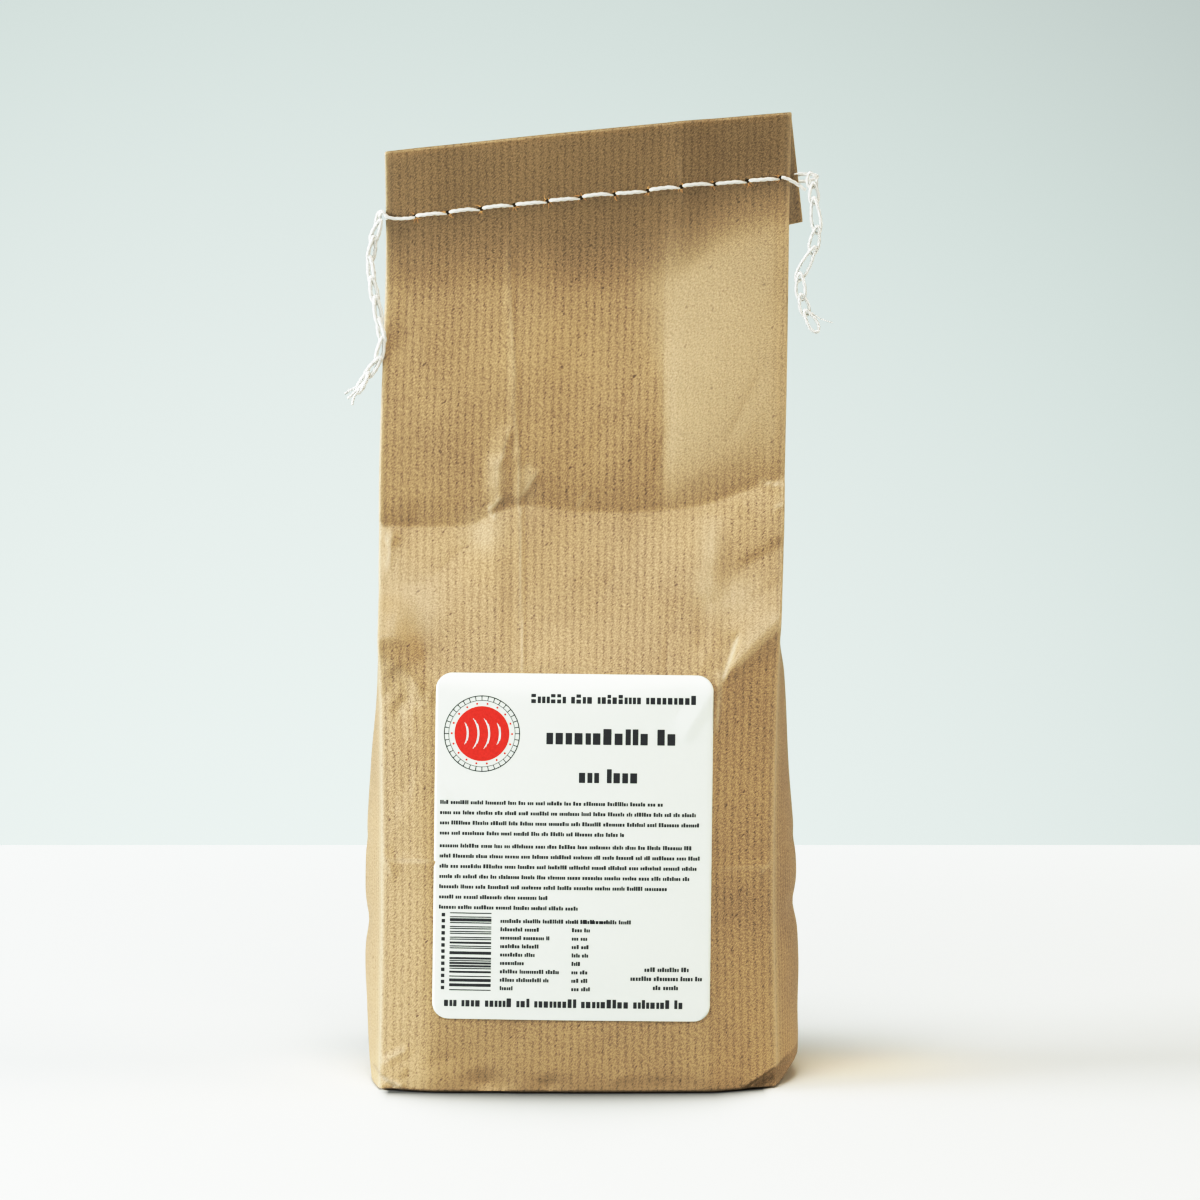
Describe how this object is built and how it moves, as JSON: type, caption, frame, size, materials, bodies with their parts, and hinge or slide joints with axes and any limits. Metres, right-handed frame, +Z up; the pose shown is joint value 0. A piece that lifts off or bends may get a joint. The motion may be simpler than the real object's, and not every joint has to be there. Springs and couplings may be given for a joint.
{
  "type": "paper bag of bread mix",
  "caption": "Full side-gusseted kraft paper bag, standing on its block bottom, with a blank-brand label, its top folded over and sewn shut with a cotton chain stitch.",
  "frame": {"origin": "centre of the bag's flat base, where it meets the table", "axes": "+Z up to the folded top, +Y from the labelled front to the back with the flap, +X to the viewer's right when facing the label"},
  "size_m": [0.1419, 0.0877, 0.2861],
  "materials": {
    "kraft_paper": "ribbed brown kraft, machine-glazed, with a low satin sheen",
    "label_paper": "smooth white self-adhesive label paper",
    "cotton_thread": "matt twisted cotton"
  },
  "bodies": {
    "root": {"bag": "kraft_paper", "label": "label_paper", "seam_thread": "cotton_thread", "tail_left": "cotton_thread", "tail_right": "cotton_thread"}
  },
  "joints": []
}
